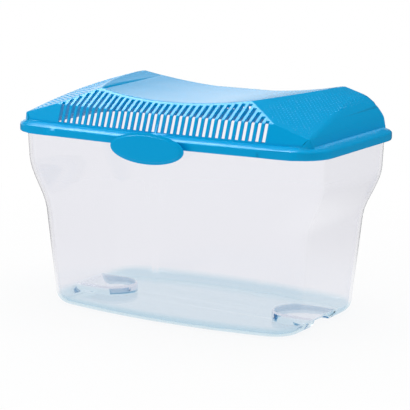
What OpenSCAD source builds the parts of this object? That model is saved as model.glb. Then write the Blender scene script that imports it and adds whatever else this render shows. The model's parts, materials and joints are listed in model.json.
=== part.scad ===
// Plastic pet keeper: a clear moulded tank with a ventilated lid, a hinged
// feeding hatch in the lid's saddle-shaped top and an oval latch at the front.
// X runs along the length, -Y is the front, +Z is up. The origin is the middle
// of the base, on the surface that the keeper stands on. Millimetres.

/* [Tank] */
// Height of the tank's top edge, where the lid rests
tank_h = 155; // [129:1:186]
// Length of the tank at its base, over the outer faces
base_len = 238; // [190:1:290]
// Width of the tank's base at its two ends
base_wid = 124; // [100:1:150]
// How far the middle of each long side bows out at the base
base_bow = 12.5; // [6:0.5:16]
// Corner radius of the base, seen from above
base_r = 27; // [18:1:36]
// Radius between the walls and the floor
floor_r = 10; // [6:1:14]
// Wall thickness of the tank
tank_wall = 2; // [1.4:0.1:3]
// Floor thickness of the tank
floor_t = 2.2; // [1.6:0.1:3.5]
// How much each end wall leans out over its lower, straight part
end_lean = 7.5; // [2:0.5:14]
// Height at which the end walls start to swell out
swell_low = 84; // [60:1:95]
// Height at which the end walls have swelled out to the rim
swell_high = 128; // [105:1:138]
// Gap between the lid's skirt and the outer wall of the tank
wall_inset = 6; // [5:0.5:9]
// Thickness of the flange round the tank's mouth
flange_t = 2; // [1.5:0.1:3]

/* [Finger recesses] */
// Half width of the recess under each end of the base
recess_half_w = 19; // [14:1:24]
// How far the recess reaches in from the end of the base
recess_len = 46; // [36:1:60]
// Height of the recess above the standing surface
recess_h = 8; // [5:0.5:10]

/* [Lid] */
// Length of the lid over its rim
lid_len = 298; // [248:1:358]
// Width of the lid over its rim, at its two ends
lid_wid = 149; // [135:1:185]
// How far the middle of each long side of the rim bows out
lid_bow = 8.5; // [5:0.5:12]
// Corner radius of the rim
rim_r = 27; // [22:1:36]
// Wall thickness of the lid
lid_wall = 1.8; // [1.4:0.1:2.6]
// How far the skirt hangs below the tank's top edge
skirt_drop = 5; // [4:0.5:8]
// Gap between the skirt and the tank's flange
skirt_gap = 0.5; // [0.3:0.1:1]
// Width of the sloping shoulder between the rim and the dome
shoulder_w = 7; // [5:0.5:10]
// Rise of that shoulder
shoulder_rise = 3; // [2:0.5:5]

/* [Dome] */
// Height of the steep lower grille face
lower_rise = 16; // [12:1:20]
// How far the lower grille face leans back
lower_run = 6; // [4:0.5:9]
// Slope of the upper grille face, in degrees
upper_slope = 32; // [26:1:38]
// Lean of the rear face, in millimetres of run for a millimetre of rise
rear_lean = 0.3; // [0.2:0.05:0.5]
// Height of the middle of the saddle above the shoulder
saddle_rise = 23; // [21:0.5:27]
// Fall of the saddle towards the back, in degrees
saddle_tilt = 1.5; // [0:0.25:2.5]
// Rise of the saddle from its middle to its crests
crest_rise = 5.5; // [4:0.5:8]
// Distance from the end of the rim to the front end of each crest
crest_inset = 76; // [70:1:82]
// Distance of the front end of each crest in front of the middle
crest_front = 46; // [42:1:50]
// Corner radius of the dome's foot, seen from above
dome_r = 13; // [9:1:20]
// Fall of each crown towards its end, in degrees
crown_fall = 16.8; // [14:0.2:19]
// Radius of each crown from front to back
crown_r = 670; // [500:10:900]
// Distance of the top line of each crown behind the middle
crown_back = 70; // [60:1:76]
// Radius of the rounded ends of the dome
end_r = 41; // [36:1:46]
// Height of the top of the rounded ends above the shoulder
end_top = 31.5; // [30:0.5:33]

/* [Grille] */
// Number of ventilation slots in the front face
slot_count = 34; // [20:1:40]
// Distance from one slot to the next
slot_pitch = 5.95; // [5:0.05:7]
// Width of each slot
slot_w = 3.5; // [2.5:0.05:4]
// Height of the sill under the slots
slot_sill = 1.5; // [1:0.5:3]
// Strip left between the top of the slots and the ridge
slot_strip = 2.5; // [2:0.5:5]
// Height of the slots in the rear face
rear_slot_h = 9; // [6:1:10]

/* [Hatch] */
// Thickness of the hatch
hatch_t = 1.8; // [1.4:0.1:2.4]
// Gap round the hatch
hatch_gap = 0.5; // [0.3:0.1:0.8]
// Strip of the lid between the ridge and the hatch
hatch_strip = 3.5; // [3:0.5:6]
// Distance from each crest to the side of the hatch
hatch_side = 3; // [2.5:0.5:8]
// Extra half length of the hatch at its rear edge
hatch_flare = 13; // [6:1:18]
// Width of the ledge that the hatch rests on
ledge_w = 5; // [3:0.5:8]
// Thickness of that ledge
ledge_t = 2; // [1.5:0.1:3]
// Half length of the hatch's hinge barrel
hinge_half = 28; // [20:1:36]
// Radius of the hinge barrel
hinge_r = 2.5; // [2.2:0.1:3]

/* [Front latch] */
// Width of the oval latch
latch_w = 70; // [56:1:84]
// Height of the oval latch
latch_h = 25.5; // [22:0.5:32]
// Thickness of the oval plate
latch_t = 2.2; // [1.8:0.1:3]
// Half length of the latch's hinge barrel
latch_half = 15; // [10:1:20]
// Half width of the hook and of the catch on the tank
hook_half = 9; // [6:1:12]

/* [Pivots] */
// Radius of the moulded trunnions
pivot_r = 1.15; // [1:0.05:1.3]
// Radial play of a trunnion in its bore
pivot_play = 0.08; // [0.04:0.01:0.1]
// Length of each trunnion
pivot_len = 3; // [2:0.5:4]
// Thickness of the lugs that hold the trunnions
lug_t = 4; // [3.5:0.5:6]
// Play along the axis between a barrel and its lugs
end_play = 0.4; // [0.3:0.1:0.8]

/* [Hidden] */
$fn = 64;

// Slopes as ratios
lower_lean = lower_run / lower_rise;
upper_rise = tan(upper_slope);
saddle_fall = tan(saddle_tilt);
end_fall = tan(crown_fall);

// Heights of the lid's levels
skirt_z = tank_h - skirt_drop;
band_z = tank_h + lid_wall;
foot_z = band_z + shoulder_rise;
fold_z = foot_z + lower_rise;
saddle_z = foot_z + saddle_rise;
over_z = foot_z + 60;

// Plan of the dome
half_len = lid_len / 2;
front_y = lid_wid / 2 + lid_bow;
foot_y = front_y - shoulder_w;
bow_r = half_len * half_len / (2 * lid_bow);
crest_x = half_len - crest_inset;
saddle_r = crest_x * crest_x / (2 * crest_rise);
crest_z = saddle(crest_x, -crest_front);
crown_z = crest_z + arc_drop(crown_r, crown_back + crest_front) / cos(crown_fall);
end_x = half_len - shoulder_w - 1.7 - end_r;
end_z = foot_z + end_top - end_r;

// Hinge of the hatch, just outside the rear face
hinge_drop = 2;
hinge_z = saddle(0, foot_y - 10) - hatch_t - hinge_drop;
hinge_y = rear_wall(hinge_z) + hinge_r + 0.9;
lug_r = pivot_r + 2;

// Flap from the hatch's rear edge to its barrel, clear of the ledge below
flap_lap = 2;
flap_low = 0.6;
flap_play = 0.3;
flap_top = hatch_t + hinge_drop - 0.2;
flap_lift = hinge_drop + 0.05 + hinge_half * hinge_half / (2 * saddle_r);

// Hinge of the latch, in front of the rim's band
latch_axis_y = -front_y - 2.2;
latch_axis_z = tank_h + 1;
latch_barrel_r = 1.9;
latch_lug_r = 2;
latch_web = 1.5;
latch_back_y = latch_axis_y - latch_lug_r - 0.35;
latch_mid_z = latch_axis_z - 6.3;
catch_y = -front_y + 0.5;
catch_z = skirt_z - 0.4;
catch_t = 2.2;

// The saddle's height at a point, and the lines where it meets the faces
function saddle(x, y) = saddle_z - saddle_fall * y + x * x / (2 * saddle_r);
function bow(x) = x * x / (2 * bow_r);
function ridge_y(x) =
    (saddle(x, 0) - fold_z - upper_rise * (foot_y - lower_run - bow(x)))
    / (upper_rise + saddle_fall);
function arc_drop(r, off) = r - sqrt(r * r - off * off);
function crease_y(x) =
    let (bend = 1 / (2 * crown_r * cos(crown_fall)),
         top = crown_z - end_fall * (x - crest_x) - fold_z
             - upper_rise * (foot_y - lower_run - bow(x)),
         apart = pow(upper_rise, 2) - 4 * bend * (upper_rise * crown_back - top))
    crown_back - (upper_rise - sqrt(max(0, apart))) / (2 * bend);
function rear_wall(z) = foot_y - rear_lean * (z - foot_z);
function rear_y(x) =
    (foot_y - bow(x) - rear_lean * (saddle(x, 0) - foot_z))
    / (1 - rear_lean * saddle_fall);

// A rectangle whose long sides bow out, with rounded corners. The points run
// anticlockwise from the middle of the right-hand end.
side_steps = 9;
corner_steps = 6;
function corner_x(len, r, lean) = len / 2 - r + r * sin(lean);
function corner_lean(len, b, r, n = 5) =
    n == 0 ? atan(4 * b / len)
    : atan(8 * b * corner_x(len, r, corner_lean(len, b, r, n - 1)) / (len * len));
function quarter(len, wid, b, r) =
    let (lean = corner_lean(len, b, r),
         x1 = corner_x(len, r, lean),
         cx = len / 2 - r,
         cy = wid / 2 + b * (1 - pow(2 * x1 / len, 2)) - r * cos(lean))
    concat(
        [for (i = [0 : corner_steps])
            let (a = i * (90 - lean) / corner_steps) [cx + r * cos(a), cy + r * sin(a)]],
        [for (i = [1 : side_steps - 1])
            let (x = x1 * (1 - i / side_steps))
            [x, wid / 2 + b * (1 - pow(2 * x / len, 2))]]);
function turned(pts) = [for (p = pts) -p];
function flipped(pts) = [for (i = [len(pts) - 1 : -1 : 0]) [-pts[i].x, pts[i].y]];
function half_ring(q, w) = concat(q, [[0, w]], flipped(q));
function ring(len, wid, b, r) =
    let (h = half_ring(quarter(len, wid, b, r), wid / 2 + b)) concat(h, turned(h));
function rim_ring(inset, r = rim_r) =
    ring(lid_len - 2 * inset, lid_wid - 2 * inset, lid_bow, r - inset);

// The tank's outline at a height, smaller by a given inset
function blend(a, b, t) = a + (b - a) * t;
function ease(t) = let (u = min(1, max(0, t))) u * u * (3 - 2 * u);
mouth_len = lid_len - 2 * wall_inset;
mouth_wid = lid_wid - 2 * wall_inset;
mouth_r = rim_r - wall_inset;
function end_half(z) =
    let (low = base_len / 2 + end_lean * z / swell_low,
         high = mouth_len / 2 - 0.02 * (tank_h - z))
    blend(low, high, ease((z - swell_low) / (swell_high - swell_low)));
function tank_ring(z, inset) =
    let (t = z / tank_h)
    ring(2 * end_half(z) - 2 * inset,
         blend(base_wid, mouth_wid, t) - 2 * inset,
         blend(base_bow, lid_bow, t),
         blend(base_r, mouth_r, t) - inset);

// A closed skin through a stack of rings that have the same number of points
module loft(rings, heights) {
    n = len(rings[0]);
    m = len(rings);
    points = [for (k = [0 : m - 1]) for (p = rings[k]) [p.x, p.y, heights[k]]];
    sides = [for (k = [0 : m - 2]) for (i = [0 : n - 1])
        let (a = k * n + i, b = k * n + (i + 1) % n) each [[a, b + n, b], [a, a + n, b + n]]];
    bottom = [for (i = [0 : n - 1]) i];
    top = [for (i = [n - 1 : -1 : 0]) (m - 1) * n + i];
    polyhedron(concat(points, centre(rings, heights)),
               concat(sides, fan(bottom, m * n), fan(top, m * n + 1)));
}
function centre(rings, heights) = [[0, 0, heights[0]], [0, 0, heights[len(heights) - 1]]];
function fan(loop, hub) = [for (i = [0 : len(loop) - 1]) [loop[i], loop[(i + 1) % len(loop)], hub]];

// Heights of the rings of the tank's skin, from the floor's curve to the top
curve_steps = 4;
wall_heights = [swell_low * 0.5, swell_low,
    for (i = [1 : 7]) blend(swell_low, swell_high, i / 7)];
module tank_skin(inset, floor_z, top_z) {
    r = floor_r - inset;
    angles = [for (i = [0 : curve_steps]) i * 90 / curve_steps];
    heights = concat([for (a = angles) floor_z + r * (1 - cos(a))], wall_heights, [top_z]);
    insets = concat([for (a = angles) inset + r * (1 - sin(a))],
        [for (h = wall_heights) inset], [inset]);
    loft([for (i = [0 : len(heights) - 1]) tank_ring(heights[i], insets[i])], heights);
}

module both_ends() {
    children();
    mirror([1, 0, 0]) children();
}
// The recesses under both ends, grown by the wall for the bosses above them
module recess_pair(grow) {
    x0 = base_len / 2 - recess_len + recess_half_w;
    both_ends() {
        translate([x0, 0, -1]) cylinder(r = recess_half_w + grow, h = recess_h + grow + 1);
        translate([x0, -recess_half_w - grow, -1])
            cube([recess_len, 2 * (recess_half_w + grow), recess_h + grow + 1]);
    }
}

module tank() color("lightgray", 0.4) {
    difference() {
        union() {
            tank_skin(0, 0, tank_h);
            translate([0, 0, tank_h - flange_t])
                linear_extrude(flange_t) polygon(rim_ring(lid_wall + skirt_gap));
            translate([-hook_half, catch_y, catch_z - catch_t])
                cube([2 * hook_half, wall_inset, catch_t]);
        }
        difference() {
            tank_skin(tank_wall, floor_t, tank_h + 1);
            recess_pair(tank_wall);
        }
        recess_pair(0);
    }
}

// A disc whose edge follows a profile, for the bowed front and rear faces. The
// profile gives the distance from the middle of the lid at each height.
module bowed_disc(profile) {
    rotate_extrude($fn = 360)
        polygon(concat([[0, profile[0][1]]],
            [for (p = profile) [bow_r - foot_y + p[0], p[1]]],
            [[0, profile[len(profile) - 1][1]]]));
}

// The dome over the rim, smaller by a wall and with its saddle cut lower
module dome(wall, top_wall, low_z) {
    lower_in = wall / cos(atan(lower_lean));
    upper_in = wall / cos(upper_slope);
    rear_in = wall / cos(atan(rear_lean));
    fold_in = (fold_z - upper_in
        + upper_rise * (lower_in - lower_run - lower_lean * foot_z))
        / (1 - lower_lean * upper_rise);
    fold_in_y = foot_y - lower_in - (fold_in - foot_z) * lower_lean;
    low_y = foot_y - lower_in;
    intersection() {
        translate([0, 0, low_z])
            linear_extrude(over_z - low_z) polygon(rim_ring(shoulder_w + wall, dome_r + shoulder_w));
        translate([0, bow_r - foot_y, 0])
            bowed_disc([[low_y, low_z], [low_y, foot_z], [fold_in_y, fold_in],
                [fold_in_y - (over_z - fold_in) / upper_rise, over_z]]);
        translate([0, foot_y - bow_r, 0])
            bowed_disc([[foot_y - rear_in, low_z], [foot_y - rear_in, foot_z],
                [rear_wall(over_z) - rear_in, over_z]]);
        difference() {
            translate([-half_len, -front_y, low_z])
                cube([lid_len, 2 * front_y, over_z - low_z]);
            saddle_bar(top_wall);
            both_ends() {
                translate([crest_x, crown_back, crown_z])
                    rotate([0, crown_fall, 0])
                    difference() {
                        translate([-lid_len / 2, -lid_len / 2, -crown_r / 2])
                            cube([lid_len, lid_len, crown_r]);
                        translate([0, 0, -crown_r])
                            rotate([0, 90, 0])
                            cylinder(r = crown_r - wall, h = 2 * lid_len, center = true, $fn = 360);
                    }
                difference() {
                    translate([end_x, -lid_wid, end_z]) cube([lid_len, 2 * lid_wid, 100]);
                    translate([end_x, 0, end_z])
                        rotate([90, 0, 0])
                        cylinder(r = end_r - wall, h = 3 * lid_wid, center = true);
                }
            }
        }
    }
}

// A long round bar whose underside is the saddle, lower by a depth
module saddle_bar(depth) {
    translate([0, 0, saddle_z + saddle_r])
        rotate([90 - saddle_tilt, 0, 0])
        cylinder(r = saddle_r + depth, h = 4 * lid_wid, center = true, $fn = 720);
}

// The hatch seen from above, larger or smaller all round
front_half = crest_x - hatch_side;
rear_half = front_half + hatch_flare;
hatch_steps = 12;
module hatch_plan(grow, rear_grow) {
    fronts = [for (i = [-hatch_steps : hatch_steps])
        let (x = (front_half + grow) * i / hatch_steps)
        [x, ridge_y(x) + hatch_strip - grow]];
    rears = [for (i = [hatch_steps : -1 : -hatch_steps])
        let (x = (rear_half + grow) * i / hatch_steps)
        [x, rear_y(x) - 0.4 + rear_grow]];
    polygon(concat(fronts, rears));
}

module slots() {
    for (i = [0 : slot_count - 1]) {
        x = (i - (slot_count - 1) / 2) * slot_pitch;
        end_y = min(ridge_y(x), crease_y(abs(x))) - slot_strip;
        translate([x - slot_w / 2, -front_y, foot_z + slot_sill])
            cube([slot_w, end_y + front_y, over_z]);
        translate([x - slot_w / 2, foot_y / 2, foot_z + slot_sill])
            cube([slot_w, front_y - foot_y / 2, rear_slot_h]);
    }
}

// Two lugs that stand on the rear face and hold the hatch's trunnions
module hatch_lugs() {
    foot = hinge_z - 8;
    both_ends()
        translate([hinge_half + end_play, 0, 0])
        rotate([90, 0, 90])
        linear_extrude(lug_t) {
            translate([hinge_y, hinge_z]) circle(r = lug_r);
            polygon([[hinge_y + lug_r, hinge_z], [rear_wall(hinge_z) - 1.5, hinge_z],
                [rear_wall(foot) - 1.5, foot], [rear_wall(foot) + 0.5, foot]]);
        }
}

// Two lugs on the rim's band that hold the latch's trunnions
module latch_lugs() {
    both_ends()
        translate([latch_half + end_play, 0, 0])
        rotate([90, 0, 90])
        linear_extrude(lug_t) {
            translate([latch_axis_y, latch_axis_z]) circle(r = latch_lug_r);
            translate([latch_axis_y, latch_axis_z - latch_lug_r])
                square([-front_y - latch_axis_y + 1, 2 * latch_lug_r]);
        }
}

// Trunnions or their bores, at both ends of a barrel
module trunnions(y, z, half, r, len) {
    both_ends()
        translate([half, y, z]) rotate([0, 90, 0]) cylinder(r = r, h = len);
}

module lid() color("deepskyblue") {
    ledge_depth = hatch_t + 0.2;
    difference() {
        union() {
            translate([0, 0, skirt_z])
                linear_extrude(band_z - skirt_z) polygon(rim_ring(0));
            hull() {
                translate([0, 0, band_z - 0.5]) linear_extrude(0.5) polygon(rim_ring(0));
                translate([0, 0, foot_z - 0.1])
                    linear_extrude(0.1) polygon(rim_ring(shoulder_w - 0.5));
            }
            dome(0, 0, band_z - 1);
            hatch_lugs();
            latch_lugs();
        }
        dome(lid_wall, ledge_depth + ledge_t, tank_h - 1);
        translate([0, 0, skirt_z - 1])
            linear_extrude(skirt_drop + 1) polygon(rim_ring(lid_wall));
        slots();
        intersection() {
            translate([0, 0, fold_z]) linear_extrude(60) hatch_plan(hatch_gap, 4);
            saddle_bar(ledge_depth);
        }
        translate([0, 0, fold_z - 10])
            linear_extrude(70) hatch_plan(-ledge_w, -ledge_w);
        translate([-hinge_half - end_play, rear_y(0) - 0.7, hinge_z + flap_low - flap_play])
            cube([2 * (hinge_half + end_play), 12, 12]);
        trunnions(hinge_y, hinge_z, hinge_half, pivot_r + pivot_play, pivot_len + 1);
        trunnions(latch_axis_y, latch_axis_z, latch_half, pivot_r + pivot_play, pivot_len + 1);
    }
}

module hatch() color("dodgerblue") {
    difference() {
        intersection() {
            translate([0, 0, fold_z]) linear_extrude(50) hatch_plan(0, 0);
            saddle_bar(hatch_t);
        }
        saddle_bar(0);
    }
    translate([-hinge_half, rear_y(0) - 0.2, hinge_z + flap_low])
        cube([2 * hinge_half, hinge_y - rear_y(0) + 0.2, flap_top - flap_low]);
    translate([-hinge_half, rear_y(0) - flap_lap, hinge_z + flap_lift])
        cube([2 * hinge_half, flap_lap, flap_top - flap_lift]);
    translate([-hinge_half, hinge_y, hinge_z])
        rotate([0, 90, 0]) cylinder(r = hinge_r, h = 2 * hinge_half);
    trunnions(hinge_y, hinge_z, hinge_half - 1, pivot_r, pivot_len + 1);
}

oval_steps = 48;
module oval(shrink) {
    polygon([for (i = [0 : oval_steps - 1])
        let (a = i * 360 / oval_steps)
        [(latch_w / 2 - shrink) * cos(a), (latch_h / 2 - shrink) * sin(a)]]);
}

module front_latch() color("deepskyblue") {
    translate([0, latch_back_y, latch_mid_z])
        rotate([90, 0, 0])
        hull() {
            linear_extrude(latch_t / 2) oval(0);
            linear_extrude(latch_t) oval(2);
        }
    translate([-latch_half, latch_axis_y, latch_axis_z])
        rotate([0, 90, 0]) cylinder(r = latch_barrel_r, h = 2 * latch_half);
    translate([-latch_half, latch_back_y - 0.5, latch_axis_z - latch_web])
        cube([2 * latch_half, latch_axis_y - latch_back_y + 0.5, 2 * latch_web]);
    trunnions(latch_axis_y, latch_axis_z, latch_half - 1, pivot_r, pivot_len + 1);
    translate([-hook_half, latch_back_y - 0.5, catch_z - catch_t - 3.3])
        cube([2 * hook_half, catch_y - 0.3 - latch_back_y + 0.5, 3]);
}

tank();
lid();
hatch();
front_latch();
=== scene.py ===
"""Plastic pet keeper: a clear tank, a blue ventilated lid with a hatch, and an oval latch."""

import json
import math

import bmesh
import bpy
from bpy.props import FloatProperty, FloatVectorProperty, PointerProperty
from mathutils import Matrix, Vector
from mathutils.bvhtree import BVHTree

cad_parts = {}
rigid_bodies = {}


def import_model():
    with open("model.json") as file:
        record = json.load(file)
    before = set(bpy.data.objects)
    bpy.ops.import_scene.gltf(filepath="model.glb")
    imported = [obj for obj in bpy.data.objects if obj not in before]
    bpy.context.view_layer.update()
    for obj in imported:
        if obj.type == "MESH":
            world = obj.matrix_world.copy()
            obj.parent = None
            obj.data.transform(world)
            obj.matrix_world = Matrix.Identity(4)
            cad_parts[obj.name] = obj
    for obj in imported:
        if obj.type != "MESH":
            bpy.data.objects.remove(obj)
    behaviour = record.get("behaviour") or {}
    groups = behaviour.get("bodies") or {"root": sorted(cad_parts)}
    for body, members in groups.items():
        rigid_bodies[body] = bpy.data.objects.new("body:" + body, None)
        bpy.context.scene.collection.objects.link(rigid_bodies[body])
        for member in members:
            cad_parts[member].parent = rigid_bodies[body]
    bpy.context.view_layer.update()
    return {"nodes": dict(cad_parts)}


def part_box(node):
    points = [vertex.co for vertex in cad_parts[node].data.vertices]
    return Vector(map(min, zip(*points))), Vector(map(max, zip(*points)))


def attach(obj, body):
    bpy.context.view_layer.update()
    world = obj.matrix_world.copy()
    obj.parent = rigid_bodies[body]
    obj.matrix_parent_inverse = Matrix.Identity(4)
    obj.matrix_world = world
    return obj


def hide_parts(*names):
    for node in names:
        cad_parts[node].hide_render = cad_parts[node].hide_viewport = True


bl_info = {
    "name": "Plastic pet keeper",
    "version": (1, 0, 0),
    "blender": (4, 5, 0),
    "location": "3D View > Sidebar > Pet Keeper",
    "description": "Moulded pieces, finishes and studio of a clear plastic pet keeper",
    "category": "Add Mesh",
}

for leftover in list(bpy.data.objects):
    bpy.data.objects.remove(leftover)
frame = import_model()
MM = 0.001
# The camera fitted to the photograph: focal length and frame width in pixels, on a 36 mm sensor
PHOTO_FOCUS, PHOTO_WIDTH, SENSOR = 1758, 410, 36
# CAD corners nearer than this are one corner, and faces that turn less than this are one flat face
SAME_CORNER, SAME_FLAT = 0.002 * MM, math.radians(0.6)


def linear(hex_colour):
    """An sRGB hex colour as the linear values that the shaders take."""
    parts = [int(hex_colour[i : i + 2], 16) / 255 for i in (1, 3, 5)]
    return tuple(c / 12.92 if c <= 0.04045 else ((c + 0.055) / 1.055) ** 2.4 for c in parts)


class KeeperShape(bpy.types.PropertyGroup):
    rim_round: FloatProperty(
        name="Rim rounding", description="Width of the rounding along the lid's rim",
        default=1.3 * MM, min=0.2 * MM, max=1.6 * MM, unit="LENGTH", precision=5)
    ridge_round: FloatProperty(
        name="Ridge rounding",
        description="Width of the rounding along the dome's ridges and crests",
        default=0.8 * MM, min=0.2 * MM, max=1.2 * MM, unit="LENGTH", precision=5)
    end_round: FloatProperty(
        name="End rounding",
        description="Width of the rounding where each shoulder turns down to its end",
        default=2.5 * MM, min=1 * MM, max=3 * MM, unit="LENGTH", precision=5)
    hatch_round: FloatProperty(
        name="Hatch rounding", description="Width of the rounding on the hatch's upper edges",
        default=0.35 * MM, min=0.05 * MM, max=0.8 * MM, unit="LENGTH", precision=5)
    latch_crown: FloatProperty(
        name="Latch crown",
        description="How far the latch's oval face falls from its middle to its edge",
        default=0.9 * MM, min=0.1 * MM, max=1.6 * MM, unit="LENGTH", precision=5)
    recess_round: FloatProperty(
        name="Recess rounding",
        description="Width of the rounding on the edges of the finger recesses",
        default=1.5 * MM, min=0.2 * MM, max=1.8 * MM, unit="LENGTH", precision=5)
    pip_pitch: FloatProperty(
        name="Pip pitch",
        description="Distance along the lid from one pip on the end shoulders to the next",
        default=4.6 * MM, min=2 * MM, max=6 * MM, unit="LENGTH", precision=5)
    pip_width: FloatProperty(
        name="Pip width", description="Width of a pip at its foot",
        default=1.8 * MM, min=0.4 * MM, max=2.5 * MM, unit="LENGTH", precision=5)


class KeeperFinish(bpy.types.PropertyGroup):
    lid_colour: FloatVectorProperty(
        name="Lid colour", description="Colour of the lid, hatch and latch",
        default=linear("#00A4DF"), subtype="COLOR", size=3, min=0, max=1)
    lid_roughness: FloatProperty(
        name="Lid roughness", description="Roughness of the blue plastic",
        default=0.2, min=0, max=1, subtype="FACTOR")
    tank_tint: FloatVectorProperty(
        name="Tank tint", description="What one face of the clear walls lets through",
        default=linear("#F6F6F9"), subtype="COLOR", size=3, min=0, max=1)
    # Painted shade: the blue-grey of the lid's shadow on the table under the tank, put into the
    # clear floor
    floor_shade_tint: FloatVectorProperty(
        name="Tank floor tint", description="What one face of the clear floor lets through",
        default=linear("#D6E8F1"), subtype="COLOR", size=3, min=0, max=1)
    tank_roughness: FloatProperty(
        name="Tank roughness", description="Roughness of the clear plastic",
        default=0.04, min=0, max=1, subtype="FACTOR")


class KeeperStudio(bpy.types.PropertyGroup):
    azimuth: FloatProperty(
        name="Azimuth", description="Camera's direction round the keeper",
        default=math.radians(31.3), subtype="ANGLE")
    elevation: FloatProperty(
        name="Elevation", description="Camera's height above the horizon, as an angle",
        default=math.radians(11.3), subtype="ANGLE")
    roll: FloatProperty(
        name="Roll", description="Turn of the camera about its own axis",
        default=math.radians(0.3), subtype="ANGLE")
    distance: FloatProperty(
        name="Distance", description="Distance from the camera to its target",
        default=1.5, unit="LENGTH")
    lens: FloatProperty(
        name="Lens", description="Focal length on a 36 mm sensor",
        default=PHOTO_FOCUS / PHOTO_WIDTH * SENSOR, subtype="DISTANCE_CAMERA")
    world_light: FloatProperty(
        name="Room light", description="Strength of the room's light on the pieces",
        default=0.5, min=0)


def add_node(nodes, kind, inputs=(), **settings):
    """Adds a shader node, sets its settings, and sets or links each input."""
    node = nodes.new(kind)
    for key, value in settings.items():
        setattr(node, key, value)
    for key, value in dict(inputs).items():
        if isinstance(value, bpy.types.NodeSocket):
            nodes.id_data.links.new(value, node.inputs[key])
        else:
            node.inputs[key].default_value = value
    return node


def new_material(name):
    """An empty node material and its nodes."""
    material = bpy.data.materials.new(name)
    material.use_nodes = True
    material.node_tree.nodes.clear()
    return material, material.node_tree.nodes


def merged_copy(node):
    """A copy of a CAD node's mesh with its loose triangles merged into flat faces."""
    bm = bmesh.new()
    bm.from_mesh(frame["nodes"][node].data)
    bmesh.ops.remove_doubles(bm, verts=bm.verts, dist=SAME_CORNER)
    bmesh.ops.dissolve_limit(
        bm, angle_limit=SAME_FLAT, verts=bm.verts, edges=bm.edges, delimit=set())
    bm.normal_update()
    return bm


def round_edges(bm, width, least_turn, segments, test):
    """Bevels the outer edges that turn by least_turn degrees or more and pass the test.

    The test is given the middle of the edge and the edge.
    """
    edges = [
        e for e in bm.edges
        if e.is_manifold and e.is_convex and e.calc_face_angle() >= math.radians(least_turn)
        and test((e.verts[0].co + e.verts[1].co) / 2, e)]
    bmesh.ops.bevel(
        bm, geom=edges, offset=width, offset_type="OFFSET", affect="EDGES",
        segments=segments, profile=0.5, material=-1, clamp_overlap=False)
    bm.normal_update()


def add_piece(bm, name, material, body, node=None, smooth=32):
    """Makes a bmesh into a piece that rides on a body and stands for a CAD node.

    Edges that turn by more than smooth degrees stay sharp.
    """
    mesh = bpy.data.meshes.new(name)
    bm.to_mesh(mesh)
    bm.free()
    piece = bpy.data.objects.new(name, mesh)
    bpy.context.scene.collection.objects.link(piece)
    mesh.materials.append(material)
    mesh.shade_smooth()
    mesh.set_sharp_from_angle(angle=math.radians(smooth))
    weights = piece.modifiers.new("Weighted normals", "WEIGHTED_NORMAL")
    weights.keep_sharp = True
    if node:
        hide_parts(node)
    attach(piece, body)
    return piece


def blue_moulded_plastic(finish):
    """Injection-moulded polypropylene, coloured right through: its shine is soft and bluish."""
    material, nodes = new_material("blue_moulded_polypropylene")
    place = add_node(nodes, "ShaderNodeTexCoord")
    # The mould's fine spark-eroded skin breaks the gloss up a little, about 0.6 mm across
    grain = add_node(
        nodes, "ShaderNodeTexNoise",
        {"Vector": place.outputs["Object"], "Scale": 1600, "Detail": 2})
    bump = add_node(
        nodes, "ShaderNodeBump",
        {"Height": grain.outputs["Fac"], "Strength": 0.02, "Distance": 0.05 * MM})
    # Slow changes of gloss where the melt cooled unevenly, some 40 mm across
    flow = add_node(
        nodes, "ShaderNodeTexNoise", {"Vector": place.outputs["Object"], "Scale": 25, "Detail": 1})
    gloss = add_node(
        nodes, "ShaderNodeMapRange",
        {"Value": flow.outputs["Fac"], "To Min": finish.lid_roughness - 0.03,
         "To Max": finish.lid_roughness + 0.03})
    shader = add_node(
        nodes, "ShaderNodeBsdfPrincipled",
        {"Base Color": (*finish.lid_colour, 1), "Roughness": gloss.outputs["Result"],
         "IOR": 1.49, "Specular Tint": (*linear("#A0D8FF"), 1), "Normal": bump.outputs["Normal"]})
    add_node(nodes, "ShaderNodeOutputMaterial", {"Surface": shader.outputs["BSDF"]})
    return material


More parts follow.
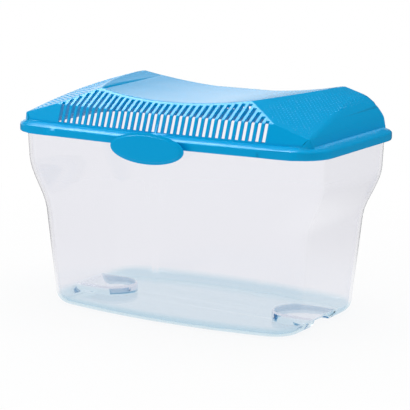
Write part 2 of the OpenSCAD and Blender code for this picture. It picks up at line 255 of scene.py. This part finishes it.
def clear_moulded_plastic(finish):
    """Clear general-purpose polystyrene from a polished mould: bright, smooth and see-through."""
    material, nodes = new_material("clear_moulded_polystyrene")
    place = add_node(nodes, "ShaderNodeTexCoord")
    # Faint waviness of the cooled wall, some 30 mm across
    waves = add_node(
        nodes, "ShaderNodeTexNoise", {"Vector": place.outputs["Object"], "Scale": 30, "Detail": 1})
    bump = add_node(
        nodes, "ShaderNodeBump",
        {"Height": waves.outputs["Fac"], "Strength": 0.06, "Distance": 0.4 * MM})
    # Painted shade: the floor is tinted blue-grey for the lid's blue shadow on the table under the
    # tank, fading out between 5 and 12 mm up, and the walls are not
    height = add_node(nodes, "ShaderNodeSeparateXYZ", {0: place.outputs["Object"]})
    low = add_node(
        nodes, "ShaderNodeMapRange",
        {"Value": height.outputs["Z"], "From Min": 5 * MM, "From Max": 12 * MM,
         "To Min": 1, "To Max": 0},
        interpolation_type="SMOOTHSTEP")
    tint = add_node(
        nodes, "ShaderNodeMix",
        {0: low.outputs["Result"], 6: (*finish.tank_tint, 1), 7: (*finish.floor_shade_tint, 1)},
        data_type="RGBA")
    # IOR is below polystyrene's 1.59, matched to how little the photographed walls shine
    glass = add_node(
        nodes, "ShaderNodeBsdfPrincipled",
        {"Base Color": tint.outputs[2], "Roughness": finish.tank_roughness,
         "IOR": 1.35, "Transmission Weight": 1, "Normal": bump.outputs["Normal"]})
    window = add_node(nodes, "ShaderNodeBsdfTransparent", {"Color": tint.outputs[2]})
    path = add_node(nodes, "ShaderNodeLightPath")
    # Lamp light and scattered light pass the thin walls unbent, so the inside is lit
    lamp_ray = add_node(
        nodes, "ShaderNodeMath",
        {0: path.outputs["Is Shadow Ray"], 1: path.outputs["Is Diffuse Ray"]}, operation="MAXIMUM")
    # Light caught in an edge leaves it again, as it does through the real rounded edges
    caught = add_node(
        nodes, "ShaderNodeMath", {0: path.outputs["Ray Depth"], 1: 3.5}, operation="GREATER_THAN")
    open_ray = add_node(
        nodes, "ShaderNodeMath",
        {0: lamp_ray.outputs[0], 1: caught.outputs[0]}, operation="MAXIMUM")
    mix = add_node(
        nodes, "ShaderNodeMixShader",
        {0: open_ray.outputs[0], 1: glass.outputs["BSDF"], 2: window.outputs["BSDF"]})
    add_node(nodes, "ShaderNodeOutputMaterial", {"Surface": mix.outputs["Shader"]})
    return material


def picture_ray(nodes, path):
    """1 for rays that carry the picture: straight to the camera, off gloss or through the tank."""
    ray = add_node(
        nodes, "ShaderNodeMath",
        {0: path.outputs["Is Camera Ray"], 1: path.outputs["Is Glossy Ray"]}, operation="MAXIMUM")
    return add_node(
        nodes, "ShaderNodeMath",
        {0: ray.outputs[0], 1: path.outputs["Is Transmission Ray"]}, operation="MAXIMUM")


def gloss_alone(nodes, path, depth):
    """1 for light mirrored once, and 0 for a ray that has gone through or about in the clear walls.

    Depth is the count that a once mirrored ray has here: 1 on a surface, and 2 in the room's light.
    """
    mirrored = add_node(
        nodes, "ShaderNodeMath",
        {0: path.outputs["Is Glossy Ray"], 1: path.outputs["Is Transmission Ray"]},
        operation="SUBTRACT", use_clamp=True)
    once = add_node(
        nodes, "ShaderNodeMath",
        {0: path.outputs["Ray Depth"], 1: depth + 0.5}, operation="LESS_THAN")
    return add_node(
        nodes, "ShaderNodeMath", {0: mirrored.outputs[0], 1: once.outputs[0]}, operation="MULTIPLY")


def studio_paper():
    """Matt white background paper: the picture shows it white, with the keeper's soft shadow."""
    material, nodes = new_material("studio_paper")
    paper = add_node(nodes, "ShaderNodeBsdfDiffuse", {"Color": (0.88, 0.88, 0.88, 1)})
    glow = add_node(nodes, "ShaderNodeEmission", {"Color": (1, 1, 1, 1), "Strength": 1})
    dim = add_node(nodes, "ShaderNodeEmission", {"Color": (1, 1, 1, 1), "Strength": 0.08})
    path = add_node(nodes, "ShaderNodeLightPath")
    place = add_node(nodes, "ShaderNodeTexCoord")
    reach = add_node(
        nodes, "ShaderNodeVectorMath", {0: place.outputs["Object"]}, operation="LENGTH")
    # The sheet stays a touch darker near the keeper, where its soft shadow falls
    glowing = add_node(
        nodes, "ShaderNodeMapRange",
        {"Value": reach.outputs["Value"], "From Min": 0.2, "From Max": 0.6,
         "To Min": 0.9, "To Max": 1},
        interpolation_type="SMOOTHSTEP")
    share = add_node(
        nodes, "ShaderNodeMath",
        {0: picture_ray(nodes, path).outputs[0], 1: glowing.outputs["Result"]},
        operation="MULTIPLY")
    # Light from the sheet fills the hollow lid through the clear tank
    lit = add_node(
        nodes, "ShaderNodeMath", {0: path.outputs["Is Diffuse Ray"], 1: 0.8}, operation="MULTIPLY")
    share = add_node(
        nodes, "ShaderNodeMath", {0: share.outputs[0], 1: lit.outputs[0]}, operation="MAXIMUM")
    white = add_node(
        nodes, "ShaderNodeMixShader",
        {0: share.outputs[0], 1: paper.outputs["BSDF"], 2: glow.outputs["Emission"]})
    # The keeper's gloss mirrors the sheet only near by, and the dim room past it
    past = add_node(
        nodes, "ShaderNodeMapRange",
        {"Value": reach.outputs["Value"], "From Min": 0.15, "From Max": 0.35},
        interpolation_type="SMOOTHSTEP")
    past = add_node(
        nodes, "ShaderNodeMath",
        {0: past.outputs["Result"], 1: gloss_alone(nodes, path, 1).outputs[0]},
        operation="MULTIPLY")
    mix = add_node(
        nodes, "ShaderNodeMixShader",
        {0: past.outputs[0], 1: white.outputs["Shader"], 2: dim.outputs["Emission"]})
    add_node(nodes, "ShaderNodeOutputMaterial", {"Surface": mix.outputs["Shader"]})
    return material


def blue_plastic():
    """The one blue material that the lid, its pips, the hatch and the latch share."""
    return bpy.data.materials.get("blue_moulded_polypropylene") or blue_moulded_plastic(
        bpy.context.scene.keeper_finish)


class KEEPER_OT_tank(bpy.types.Operator):
    """Makes the clear tank"""

    bl_idname = "keeper.tank"
    bl_label = "Tank"

    def execute(self, context):
        bm = merged_copy("tank")
        round_edges(
            bm, context.scene.keeper_shape.recess_round, least_turn=40, segments=4,
            test=self.on_recess)
        add_piece(
            bm, "tank_shell", clear_moulded_plastic(context.scene.keeper_finish),
            "tank", "tank", smooth=40)
        return {"FINISHED"}

    def on_recess(self, p, e):
        """True in the boxes at the two ends of the floor that hold the finger recesses"""
        low, high, inner, side = 3 * MM, 14 * MM, 60 * MM, 24 * MM
        return low < p.z < high and abs(p.x) > inner and abs(p.y) < side


class KEEPER_OT_lid(bpy.types.Operator):
    """Makes the ventilated lid with its grille, saddle, ledge and lugs"""

    bl_idname = "keeper.lid"
    bl_label = "Lid"

    def execute(self, context):
        shape = context.scene.keeper_shape
        bm = merged_copy("lid")
        lowest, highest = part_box("lid")
        self.half = highest.x
        self.rim_top = lowest.z + 7.5 * MM
        self.dome_foot = lowest.z + 10.2 * MM
        round_edges(bm, shape.rim_round, least_turn=20, segments=3, test=self.on_rim)
        round_edges(bm, shape.ridge_round, least_turn=20, segments=3, test=self.on_dome)
        round_edges(bm, shape.end_round, least_turn=8, segments=4, test=self.on_end)
        add_piece(bm, "lid_shell", blue_plastic(), "lid", "lid")
        return {"FINISHED"}

    def on_rim(self, p, e):
        """True on the rim's outer edges, near the outline, which bows out along its long sides"""
        if p.z >= self.rim_top:
            return False
        looks_out = any(
            f.normal.x * p.x + f.normal.y * p.y > 0.7 * p.xy.length for f in e.link_faces)
        end_zone, side_line = 30 * MM, 73 * MM
        bow = 8.5 * MM * (1 - (p.x / self.half) ** 2)
        return looks_out and (abs(p.x) > self.half - end_zone or abs(p.y) > side_line + bow)

    def on_end(self, p, e):
        """True on the line where a shoulder turns down to the lid's end"""
        shoulder_foot, shoulder_start = self.dome_foot + 6 * MM, 95 * MM
        # The shoulders' own faces lean by less than this to the end
        shoulder_lean = 0.36
        lean = max(abs(f.normal.x) for f in e.link_faces)
        upwards = all(abs(f.normal.y) < 0.3 and f.normal.z > 0.1 for f in e.link_faces)
        return (
            p.z > shoulder_foot and abs(p.x) > shoulder_start and lean > shoulder_lean
            and upwards)

    def on_dome(self, p, e):
        """True on the dome's outer ridges, and not on slots, hinge lugs or the hatch's recess"""
        lugs = p.y > 60 * MM and abs(p.x) < 40 * MM
        if p.z < self.dome_foot or lugs or self.on_end(p, e):
            return False
        faces = e.link_faces
        under_or_in_slot = any(f.normal.z < -0.05 or abs(f.normal.x) > 0.999 for f in faces)
        # A bar's end between two slots is smaller than this, and a slot's edge turns more
        bar_end, slot_turn = 9 * MM * MM, math.radians(75)
        return (
            not under_or_in_slot and e.calc_face_angle() < slot_turn
            and min(f.calc_area() for f in faces) > bar_end)


class KEEPER_OT_pips(bpy.types.Operator):
    """Makes the fine raised pips on the lid's two end shoulders"""

    bl_idname = "keeper.pips"
    bl_label = "Shoulder pips"

    def execute(self, context):
        shape = context.scene.keeper_shape
        shell = merged_copy("lid")
        tree = BVHTree.FromBMesh(shell)
        shell.free()
        bm = bmesh.new()
        pitch, height = shape.pip_pitch, 0.18 * MM
        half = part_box("lid")[1].x
        inner, outer = half - 62 * MM, half - 8 * MM
        steps = round(2 * half / pitch)
        # The rows run diagonally, and each pip is a low six-sided cone with its lower half sunk in
        for row in range(-steps, steps):
            for column in range(-steps, steps):
                x, y = (row + column) * pitch / 2, (row - column) * pitch / 2
                place = inner < abs(x) < outer and self.on_shoulder(tree, x, y, 4 * MM)
                if place:
                    bmesh.ops.create_cone(
                        bm, cap_ends=True, segments=6, radius1=shape.pip_width / 2,
                        radius2=shape.pip_width / 4, depth=2 * height, matrix=place)
        if not bm.faces:
            raise RuntimeError("no place for the shoulder pips")
        add_piece(bm, "shoulder_pips", blue_plastic(), "lid", smooth=20)
        return {"FINISHED"}

    def on_shoulder(self, tree, x, y, margin):
        """Where a pip stands on the sloping shoulder, or None within a margin of its edge"""
        down, above = Vector((0, 0, -1)), 0.25
        # How far the shoulder's faces lean to the end, and at most to the front or back
        least_lean, most_lean, most_aside = 0.2, 0.8, 0.22
        found = [
            tree.ray_cast(Vector((x + dx * margin, y + dy * margin, above)), down)
            for dx, dy in ((0, 0), (1, 0), (-1, 0), (0, 1), (0, -1))]
        for place, normal, _, _ in found:
            if place is None or abs(normal.y) > most_aside:
                return None
            if abs(normal.x) < least_lean or abs(normal.x) > most_lean:
                return None
        place, normal = found[0][:2]
        return Matrix.Translation(place) @ normal.to_track_quat("Z", "Y").to_matrix().to_4x4()


class KEEPER_OT_hatch(bpy.types.Operator):
    """Makes the feeding hatch"""

    bl_idname = "keeper.hatch"
    bl_label = "Feeding hatch"

    def execute(self, context):
        bm = merged_copy("hatch")
        round_edges(
            bm, context.scene.keeper_shape.hatch_round, least_turn=60, segments=3,
            test=self.on_top)
        add_piece(bm, "feeding_hatch", blue_plastic(), "hatch", "hatch")
        return {"FINISHED"}

    def on_top(self, p, e):
        """True round the hatch's broad upper face, as far back as its hinge"""
        broad, hinge_start = 200 * MM * MM, 58 * MM
        top = any(f.normal.z > 0.9 and f.calc_area() > broad for f in e.link_faces)
        return top and p.y < hinge_start


class KEEPER_OT_latch(bpy.types.Operator):
    """Makes the oval latch at the front"""

    bl_idname = "keeper.latch"
    bl_label = "Oval latch"

    def execute(self, context):
        bm = merged_copy("front_latch")
        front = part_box("front_latch")[0].y
        face = max(bm.faces, key=lambda f: f.calc_area() * (f.normal.y < -0.99))
        middle = face.calc_center_bounds()
        outline = [v.co - middle for v in face.verts]
        crown = context.scene.keeper_shape.latch_crown
        for v in face.verts:
            v.co.y = front + crown
        # Rings of the face, each a share of the oval's size and of the crown's fall
        rings = ((0.985, 0.45), (0.96, 0.27), (0.86, 0.17), (0.66, 0.09), (0.36, 0.03))
        for share, fall in rings:
            bmesh.ops.inset_individual(bm, faces=[face], thickness=0.01 * MM)
            for v in face.verts:
                way = (v.co - middle).normalized()
                nearest = min(outline, key=lambda arm: (arm.normalized() - way).length)
                v.co = middle + nearest * share
                v.co.y = front + crown * fall
        bm.normal_update()
        add_piece(bm, "oval_latch", blue_plastic(), "front_latch", "front_latch")
        return {"FINISHED"}


class KEEPER_OT_studio(bpy.types.Operator):
    """Makes the floor, the soft lamps, the room's light and the camera"""

    bl_idname = "keeper.studio"
    bl_label = "Studio"

    def execute(self, context):
        studio = context.scene.keeper_studio
        bm = bmesh.new()
        half_width = 9
        bmesh.ops.create_grid(bm, x_segments=1, y_segments=1, size=half_width)
        mesh = bpy.data.meshes.new("studio_floor")
        bm.to_mesh(mesh)
        bm.free()
        mesh.materials.append(studio_paper())
        floor = bpy.data.objects.new("studio_floor", mesh)
        context.scene.collection.objects.link(floor)
        self.soft_lamp(
            "top_softbox", place=(0.1, 0.15, 1.3), target=(0, 0, 0.15), size=1.4, power=10)
        self.soft_lamp(
            "left_softbox", place=(-1.3, -1.0, 0.9), target=(0, 0, 0.12), size=1.0, power=11)
        self.room_light(context, studio.world_light)
        self.camera(context, studio)
        return {"FINISHED"}

    def soft_lamp(self, name, place, target, size, power):
        """Adds a square soft lamp that gloss doesn't mirror, because the room's light has one"""
        lamp = bpy.data.lights.new(name, "AREA")
        lamp.shape, lamp.size, lamp.energy = "SQUARE", size, power
        holder = bpy.data.objects.new(name, lamp)
        holder.location = place
        aim = Vector(target) - Vector(place)
        holder.rotation_euler = aim.to_track_quat("-Z", "Y").to_euler()
        holder.visible_glossy = False
        bpy.context.scene.collection.objects.link(holder)

    def room_light(self, context, strength):
        """Lights the pieces evenly, and gives gloss a backdrop, softbox and dim room to mirror"""
        world = bpy.data.worlds.new("studio_room")
        world.use_nodes = True
        nodes = world.node_tree.nodes
        nodes.clear()
        way = add_node(nodes, "ShaderNodeTexCoord")
        way = add_node(nodes, "ShaderNodeSeparateXYZ", {0: way.outputs["Generated"]})
        # The white backdrop is behind and low, the softbox overhead, and both to the left
        behind = add_node(
            nodes, "ShaderNodeMapRange",
            {"Value": way.outputs["Y"], "From Min": 0.0, "From Max": 0.3},
            interpolation_type="SMOOTHSTEP")
        under = add_node(
            nodes, "ShaderNodeMapRange",
            {"Value": way.outputs["Z"], "From Min": 0.18, "From Max": 0.34,
             "To Min": 1, "To Max": 0},
            interpolation_type="SMOOTHSTEP")
        aside = add_node(
            nodes, "ShaderNodeMapRange",
            {"Value": way.outputs["X"], "From Min": -0.45, "From Max": -0.3,
             "To Min": 1, "To Max": 0},
            interpolation_type="SMOOTHSTEP")
        backdrop = add_node(
            nodes, "ShaderNodeMath", {0: behind.outputs["Result"], 1: under.outputs["Result"]},
            operation="MULTIPLY")
        backdrop = add_node(
            nodes, "ShaderNodeMath", {0: backdrop.outputs[0], 1: aside.outputs["Result"]},
            operation="MULTIPLY")
        glow = 7
        softbox = add_node(
            nodes, "ShaderNodeMapRange",
            {"Value": way.outputs["Z"], "From Min": 0.6, "From Max": 0.7, "To Max": glow},
            interpolation_type="SMOOTHSTEP")
        nearer = add_node(
            nodes, "ShaderNodeMapRange",
            {"Value": way.outputs["Y"], "From Min": 0.5, "From Max": 0.65,
             "To Min": 1, "To Max": 0},
            interpolation_type="SMOOTHSTEP")
        softbox = add_node(
            nodes, "ShaderNodeMath", {0: softbox.outputs["Result"], 1: nearer.outputs["Result"]},
            operation="MULTIPLY")
        softbox = add_node(
            nodes, "ShaderNodeMath", {0: softbox.outputs[0], 1: aside.outputs["Result"]},
            operation="MULTIPLY")
        bright = add_node(
            nodes, "ShaderNodeMath", {0: backdrop.outputs[0], 1: softbox.outputs[0]},
            operation="MAXIMUM")
        dim_room, backdrop_white = 0.05, 1.15
        mirrored = add_node(
            nodes, "ShaderNodeMapRange",
            {"Value": bright.outputs[0], "To Min": dim_room, "To Max": backdrop_white},
            clamp=False)
        path = add_node(nodes, "ShaderNodeLightPath")
        level = add_node(
            nodes, "ShaderNodeMapRange",
            {"Value": picture_ray(nodes, path).outputs[0], "To Min": strength, "To Max": 1.0})
        level = add_node(
            nodes, "ShaderNodeMix",
            {0: gloss_alone(nodes, path, 2).outputs[0], 2: level.outputs["Result"],
             3: mirrored.outputs["Result"]})
        sky = add_node(
            nodes, "ShaderNodeBackground", {"Color": (1, 1, 1, 1), "Strength": level.outputs[0]})
        add_node(nodes, "ShaderNodeOutputWorld", {"Surface": sky.outputs["Background"]})
        context.scene.world = world

    def camera(self, context, studio):
        """Sets the photograph's camera"""
        a, e = studio.azimuth, studio.elevation
        back = Vector((math.sin(a) * math.cos(e), -math.cos(a) * math.cos(e), math.sin(e)))
        right = Vector((math.cos(a), math.sin(a), 0))
        up = back.cross(right)
        turn = Matrix((right, up, back)).transposed().to_4x4()
        turn @= Matrix.Rotation(studio.roll, 4, "Z")
        lens = bpy.data.cameras.new("photo_camera")
        lens.lens, lens.sensor_width = studio.lens, SENSOR
        lens.clip_start, lens.clip_end = 0.05, 60
        camera = bpy.data.objects.new("photo_camera", lens)
        # What the middle of the photograph shows
        target = Vector((1.8, 0, 89)) * MM
        camera.matrix_world = Matrix.Translation(target + back * studio.distance) @ turn
        context.scene.collection.objects.link(camera)
        context.scene.camera = camera
        context.scene.view_settings.view_transform = "Standard"


class KEEPER_PT_panel(bpy.types.Panel):
    """Lists the keeper's values and the operators that make it"""

    bl_label = "Pet Keeper"
    bl_idname = "KEEPER_PT_panel"
    bl_space_type = "VIEW_3D"
    bl_region_type = "UI"
    bl_category = "Pet Keeper"

    def draw(self, context):
        layout = self.layout
        scene = context.scene
        for group in (scene.keeper_shape, scene.keeper_finish, scene.keeper_studio):
            box = layout.box()
            for key in group.__annotations__:
                box.prop(group, key)
        for operator in OPERATORS:
            layout.operator(operator.bl_idname)


OPERATORS = (
    KEEPER_OT_studio, KEEPER_OT_tank, KEEPER_OT_lid, KEEPER_OT_pips,
    KEEPER_OT_hatch, KEEPER_OT_latch)
CLASSES = (KeeperShape, KeeperFinish, KeeperStudio, *OPERATORS, KEEPER_PT_panel)


def register():
    for each in CLASSES:
        bpy.utils.register_class(each)
    bpy.types.Scene.keeper_shape = PointerProperty(type=KeeperShape)
    bpy.types.Scene.keeper_finish = PointerProperty(type=KeeperFinish)
    bpy.types.Scene.keeper_studio = PointerProperty(type=KeeperStudio)


def unregister():
    del bpy.types.Scene.keeper_shape, bpy.types.Scene.keeper_finish, bpy.types.Scene.keeper_studio
    for each in reversed(CLASSES):
        bpy.utils.unregister_class(each)


def main():
    register()
    for step in (
            bpy.ops.keeper.studio, bpy.ops.keeper.tank, bpy.ops.keeper.lid, bpy.ops.keeper.pips,
            bpy.ops.keeper.hatch, bpy.ops.keeper.latch):
        step()


if __name__ == "__main__":
    main()
